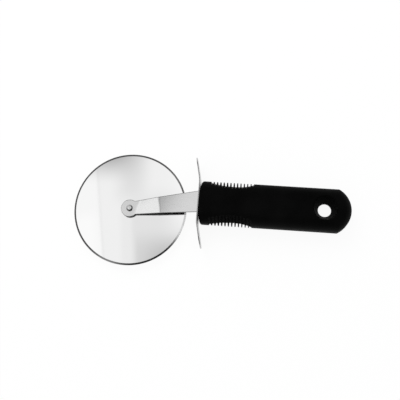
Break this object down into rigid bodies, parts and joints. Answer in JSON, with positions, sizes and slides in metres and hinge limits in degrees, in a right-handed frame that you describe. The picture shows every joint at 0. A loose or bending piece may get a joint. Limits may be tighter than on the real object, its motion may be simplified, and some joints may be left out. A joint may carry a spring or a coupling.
{
  "type": "pizza cutter wheel",
  "caption": "Hand pizza cutter: round steel blade turning on a rivet at the end of a cranked steel arm, with an S-shaped finger guard and a soft finned handle with a hanging hole.",
  "frame": {"origin": "under the middle of the whole tool, on the surface that it lies on", "axes": "+X from the blade towards the handle's butt, +Z along the blade's axle, up from the surface, +Y across the tool away from the side that the blade stands below the handle's line"},
  "size_m": [0.241, 0.1, 0.024],
  "materials": {
    "blade_steel": "mirror-polished stainless steel with a ground bevel",
    "arm_steel": "satin stainless steel, fine lengthwise grain",
    "rivet_steel": "polished stainless steel",
    "washer_steel": "tumbled stainless steel",
    "guard_steel": "satin stainless steel",
    "core_plastic": "moulded hard plastic",
    "soft_grip": "matte soft-touch moulding"
  },
  "bodies": {
    "handle": {"arm": "arm_steel", "axle_rivet": "rivet_steel", "spacer_washer": "washer_steel", "back_washer": "washer_steel", "finger_guard": "guard_steel", "handle_core": "core_plastic", "grip_sleeve": "soft_grip"},
    "wheel": {"cutting_wheel": "blade_steel"}
  },
  "joints": [
    {"name": "wheel_spin", "type": "hinge", "parent": "handle", "child": "wheel", "pos_m": [-0.07055, 0, 0.0072], "axis": [0, 0, 1], "continuous": true}
  ]
}
